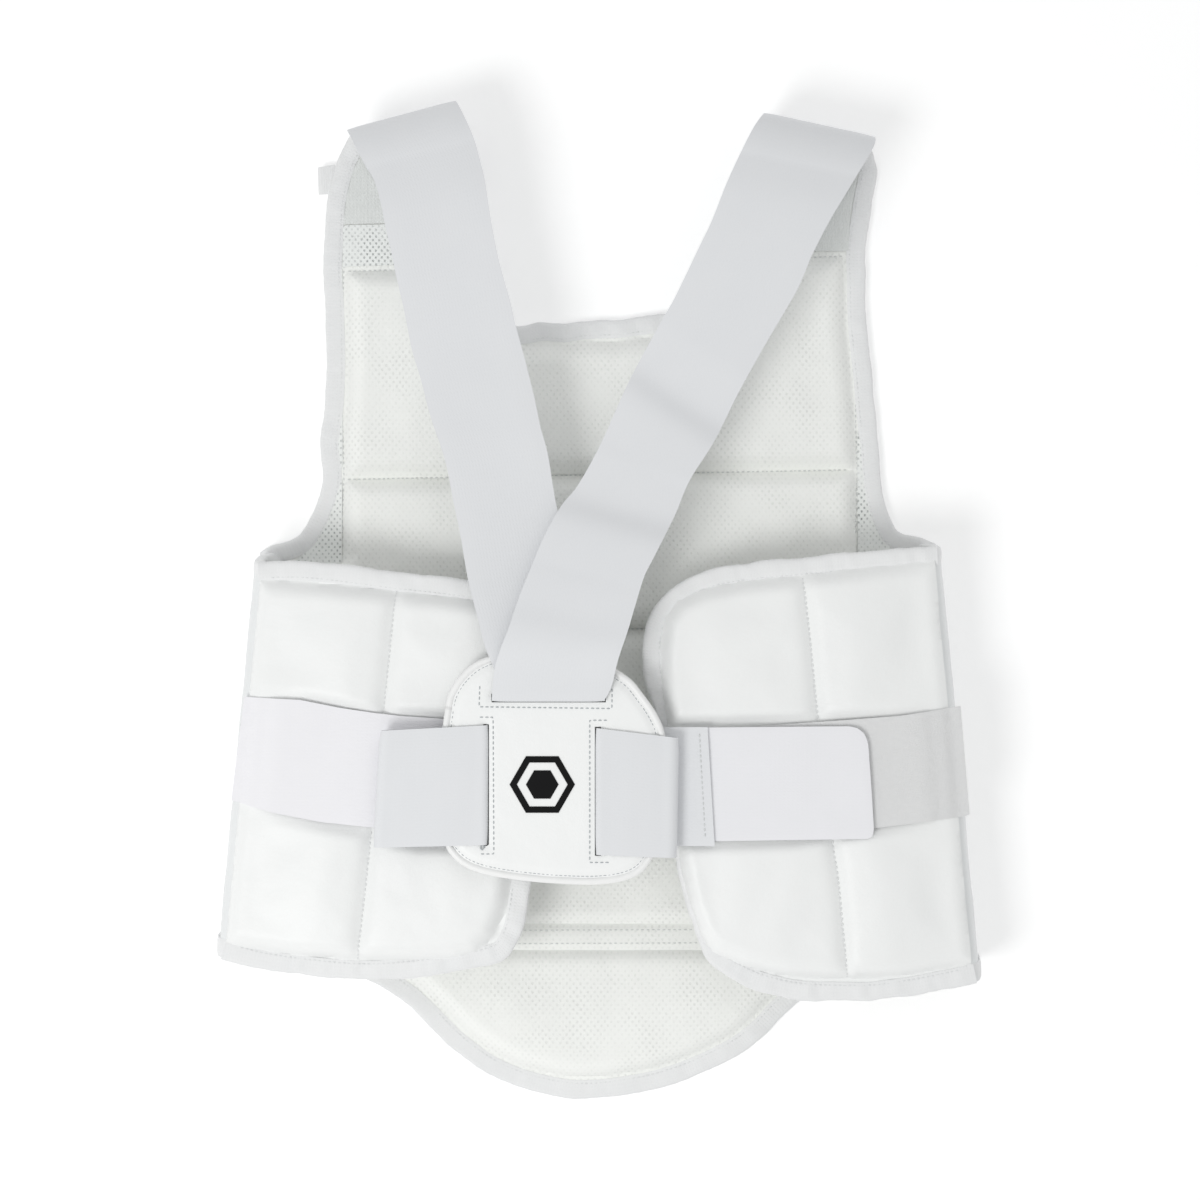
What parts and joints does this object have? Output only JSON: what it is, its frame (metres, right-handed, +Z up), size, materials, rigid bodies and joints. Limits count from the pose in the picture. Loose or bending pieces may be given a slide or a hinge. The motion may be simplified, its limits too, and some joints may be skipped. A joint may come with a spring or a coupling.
{
  "type": "chest protector",
  "caption": "Padded white body protector lying on its front: quilted panel, side wings folded over, elastic shoulder straps crossing to a back plate, hook-and-loop side closure.",
  "frame": {"origin": "centre of the whole part's box in plan, on the surface that the front cover lies on", "axes": "+Z up from the floor towards the back harness, +Y towards the shoulders, +X to the right as the back is seen"},
  "size_m": [0.409, 0.5384, 0.0862],
  "materials": {
    "cover_cloth": "soft matte coated cloth",
    "lining_mesh": "knitted spacer mesh",
    "yoke_cloth": "fine woven cloth",
    "edge_tape": "woven edge binding",
    "elastic": "ribbed woven elastic",
    "foam": "closed-cell foam",
    "plate_cloth": "soft coated cloth",
    "plate_rim": "covered piping",
    "tag_cloth": "woven satin tag",
    "emblem_print": "matte print",
    "hook_cloth": "hook-and-loop tape",
    "loop_cloth": "brushed loop tape"
  },
  "bodies": {
    "front": {"front_cover": "cover_cloth", "chest_foam": "foam", "upper_rib_foam": "foam", "lower_rib_foam": "foam", "waist_foam": "foam", "abdomen_foam": "foam", "inner_lining": "lining_mesh", "left_yoke_facing": "yoke_cloth", "right_yoke_facing": "yoke_cloth", "neck_binding": "edge_tape", "left_armhole_binding": "edge_tape", "right_armhole_binding": "edge_tape", "hem_binding": "edge_tape", "side_tag": "tag_cloth", "left_side_fold": "cover_cloth", "right_side_fold": "cover_cloth", "left_strap_anchor": "elastic", "right_strap_anchor": "elastic"},
    "left_wing": {"left_wing_fold": "cover_cloth", "left_wing_lining": "lining_mesh", "left_outer_pad": "foam", "left_inner_pad": "foam", "left_wing_cover": "cover_cloth", "left_wing_binding": "edge_tape", "left_band": "elastic"},
    "right_wing": {"right_wing_fold": "cover_cloth", "right_wing_lining": "lining_mesh", "right_outer_pad": "foam", "right_inner_pad": "foam", "right_wing_cover": "cover_cloth", "right_wing_binding": "edge_tape", "right_loop_band": "loop_cloth"},
    "harness": {"left_shoulder_strap": "elastic", "right_shoulder_strap": "elastic", "plate_backing": "plate_cloth", "plate_foam": "foam", "plate_face": "plate_cloth", "plate_piping": "plate_rim", "left_side_strap": "elastic", "right_side_strap": "elastic", "emblem": "emblem_print"},
    "tab": {"hook_tab": "elastic", "hook_tape": "hook_cloth"}
  },
  "joints": [
    {"name": "harness_lift", "type": "hinge", "parent": "front", "child": "harness", "pos_m": [0, 0.2696, 0.034], "axis": [-1, 0, 0], "range_deg": [0, 110]},
    {"name": "left_wing_open", "type": "hinge", "parent": "front", "child": "left_wing", "pos_m": [-0.19465, -0.07885, 0.034], "axis": [-0.0931, -0.9957, 0], "range_deg": [0, 85]},
    {"name": "right_wing_open", "type": "hinge", "parent": "front", "child": "right_wing", "pos_m": [0.194, -0.0818, 0.034], "axis": [-0.0923, 0.9957, 0], "range_deg": [0, 85]},
    {"name": "tab_peel", "type": "hinge", "parent": "harness", "child": "tab", "pos_m": [0.0597, -0.0946, 0.0666], "axis": [0.0607, -0.9982, 0], "range_deg": [0, 120]}
  ],
  "couplings": [
    {"joint": "left_wing_open", "follows": "harness_lift", "ratio": 0.75},
    {"joint": "right_wing_open", "follows": "harness_lift", "ratio": 0.75}
  ]
}
